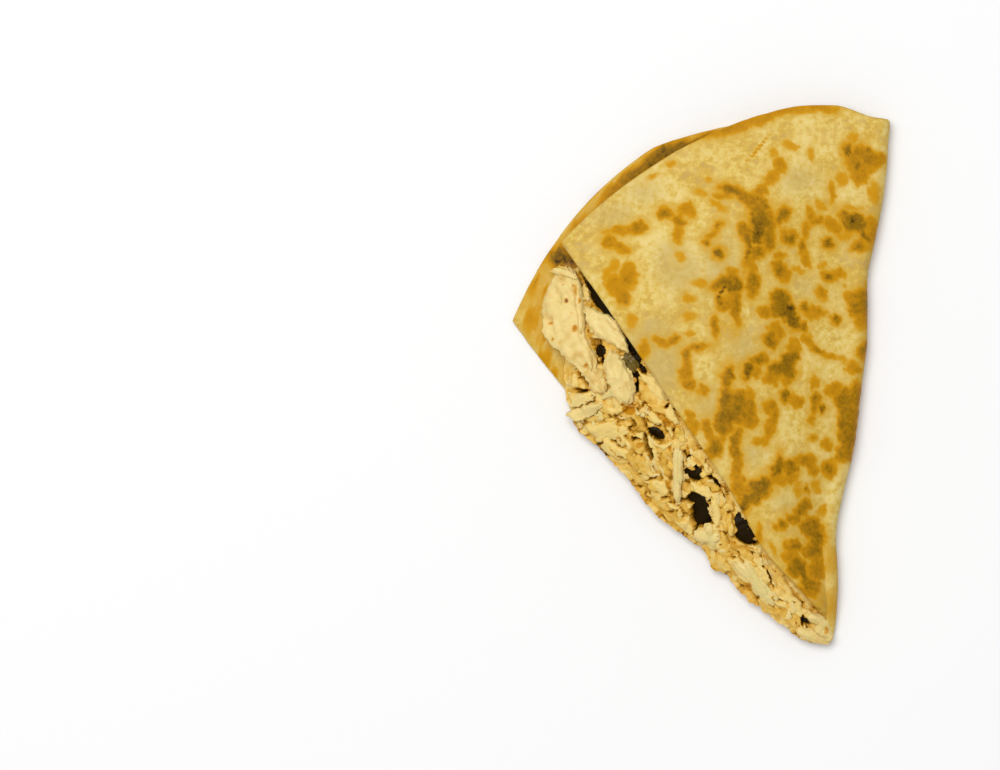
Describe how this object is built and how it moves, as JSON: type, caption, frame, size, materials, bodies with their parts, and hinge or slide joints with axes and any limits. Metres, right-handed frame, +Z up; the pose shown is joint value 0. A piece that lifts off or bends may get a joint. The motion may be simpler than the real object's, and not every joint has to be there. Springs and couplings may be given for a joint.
{
  "type": "quesadilla wedge",
  "caption": "Wedge of a folded flour tortilla, browned on top, with pulled chicken and dark beans sloping out of its cut side.",
  "frame": {"origin": "on the floor under the middle of the wedge's box", "axes": "+Y along the folded edge from the tip to the rim, +X from the cut side to the fold, +Z up out of the browned upper leaf"},
  "size_m": [0.0862, 0.129, 0.0173],
  "materials": {
    "tortilla": "soft floury bread, pan-toasted in patches",
    "filling": "moist shredded meat with melted cheese",
    "chicken": "moist cooked meat, fibrous",
    "bean": "wet glossy skin",
    "pepper": "soft wet skin"
  },
  "bodies": {
    "root": {"tortilla": "tortilla", "filling": "filling", "chicken_strip_large": "chicken", "chicken_shard_upper": "chicken", "chicken_chunk_middle": "chicken", "chicken_chunk_inner": "chicken", "chicken_shard_outer": "chicken", "chicken_shred_straight": "chicken", "chicken_piece_lower": "chicken", "chicken_strip_tip": "chicken", "bean_upper": "bean", "bean_inner": "bean", "bean_middle": "bean", "bean_small": "bean", "bean_front": "bean", "bean_lower": "bean", "pepper_strip": "pepper"}
  },
  "joints": []
}
